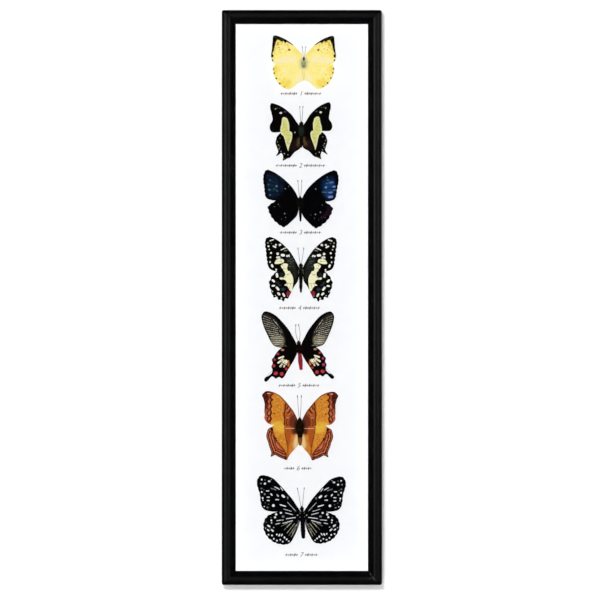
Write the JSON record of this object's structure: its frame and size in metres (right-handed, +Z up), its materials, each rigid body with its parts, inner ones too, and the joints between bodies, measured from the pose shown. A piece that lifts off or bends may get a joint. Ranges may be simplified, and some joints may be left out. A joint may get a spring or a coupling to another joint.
{
  "type": "framed butterfly specimen",
  "caption": "Tall black shadow-box frame with glass over a white card that carries a column of spread, mounted butterflies; hangs on a wall by a sawtooth hanger.",
  "frame": {"origin": "point where the wall nail carries the sawtooth hanger, in the plane of the rails' back faces", "axes": "+Z up, +X to the viewer's right, +Y into the wall; the glass faces -Y"},
  "size_m": [0.16, 0.0247, 0.574],
  "materials": {
    "lacquered_rail": "satin black lacquer on a rounded moulding",
    "glazing": "clear picture glass",
    "spacer_board": "matt white",
    "mount_card": "smooth matt bluish white",
    "hardboard": "brown pressed fibre",
    "plated_steel": "dull zinc plate",
    "lemon_wing": "pale lemon scales with black tips",
    "lemon_body": "dry hairy body",
    "nawab_wing": "black scales with a pale green band",
    "nawab_body": "dry hairy body",
    "eggfly_wing": "blue-black scales with pale blue spots",
    "eggfly_body": "dry hairy body",
    "lime_wing": "black scales with cream spots",
    "lime_body": "dry hairy body",
    "rose_wing": "grey translucent scales between black veins, red and cream spots",
    "rose_body": "dry hairy body",
    "cruiser_wing": "orange and rust scales with dark wavy lines",
    "cruiser_body": "dry hairy body",
    "tiger_wing": "black scales with white streaks",
    "tiger_body": "dry hairy body"
  },
  "bodies": {
    "root": {"rail_top": "lacquered_rail", "rail_bottom": "lacquered_rail", "rail_left": "lacquered_rail", "rail_right": "lacquered_rail", "glass": "glazing", "spacer_left": "spacer_board", "spacer_right": "spacer_board", "spacer_bottom": "spacer_board", "spacer_top": "spacer_board", "card": "mount_card", "back_panel": "hardboard", "point_left_1": "plated_steel", "point_right_1": "plated_steel", "point_left_2": "plated_steel", "point_right_2": "plated_steel", "point_left_3": "plated_steel", "point_right_3": "plated_steel", "point_bottom": "plated_steel", "point_top": "plated_steel", "hanger": "plated_steel", "nail_1": "plated_steel", "nail_2": "plated_steel", "lemon_body": "lemon_body", "lemon_forewing_left": "lemon_wing", "lemon_forewing_right": "lemon_wing", "lemon_hindwing_left": "lemon_wing", "lemon_hindwing_right": "lemon_wing", "nawab_body": "nawab_body", "nawab_forewing_left": "nawab_wing", "nawab_forewing_right": "nawab_wing", "nawab_hindwing_left": "nawab_wing", "nawab_hindwing_right": "nawab_wing", "eggfly_body": "eggfly_body", "eggfly_forewing_left": "eggfly_wing", "eggfly_forewing_right": "eggfly_wing", "eggfly_hindwing_left": "eggfly_wing", "eggfly_hindwing_right": "eggfly_wing", "lime_body": "lime_body", "lime_forewing_left": "lime_wing", "lime_forewing_right": "lime_wing", "lime_hindwing_left": "lime_wing", "lime_hindwing_right": "lime_wing", "rose_body": "rose_body", "rose_forewing_left": "rose_wing", "rose_forewing_right": "rose_wing", "rose_hindwing_left": "rose_wing", "rose_hindwing_right": "rose_wing", "cruiser_body": "cruiser_body", "cruiser_forewing_left": "cruiser_wing", "cruiser_forewing_right": "cruiser_wing", "cruiser_hindwing_left": "cruiser_wing", "cruiser_hindwing_right": "cruiser_wing", "tiger_body": "tiger_body", "tiger_forewing_left": "tiger_wing", "tiger_forewing_right": "tiger_wing", "tiger_hindwing_left": "tiger_wing", "tiger_hindwing_right": "tiger_wing"}
  },
  "joints": []
}
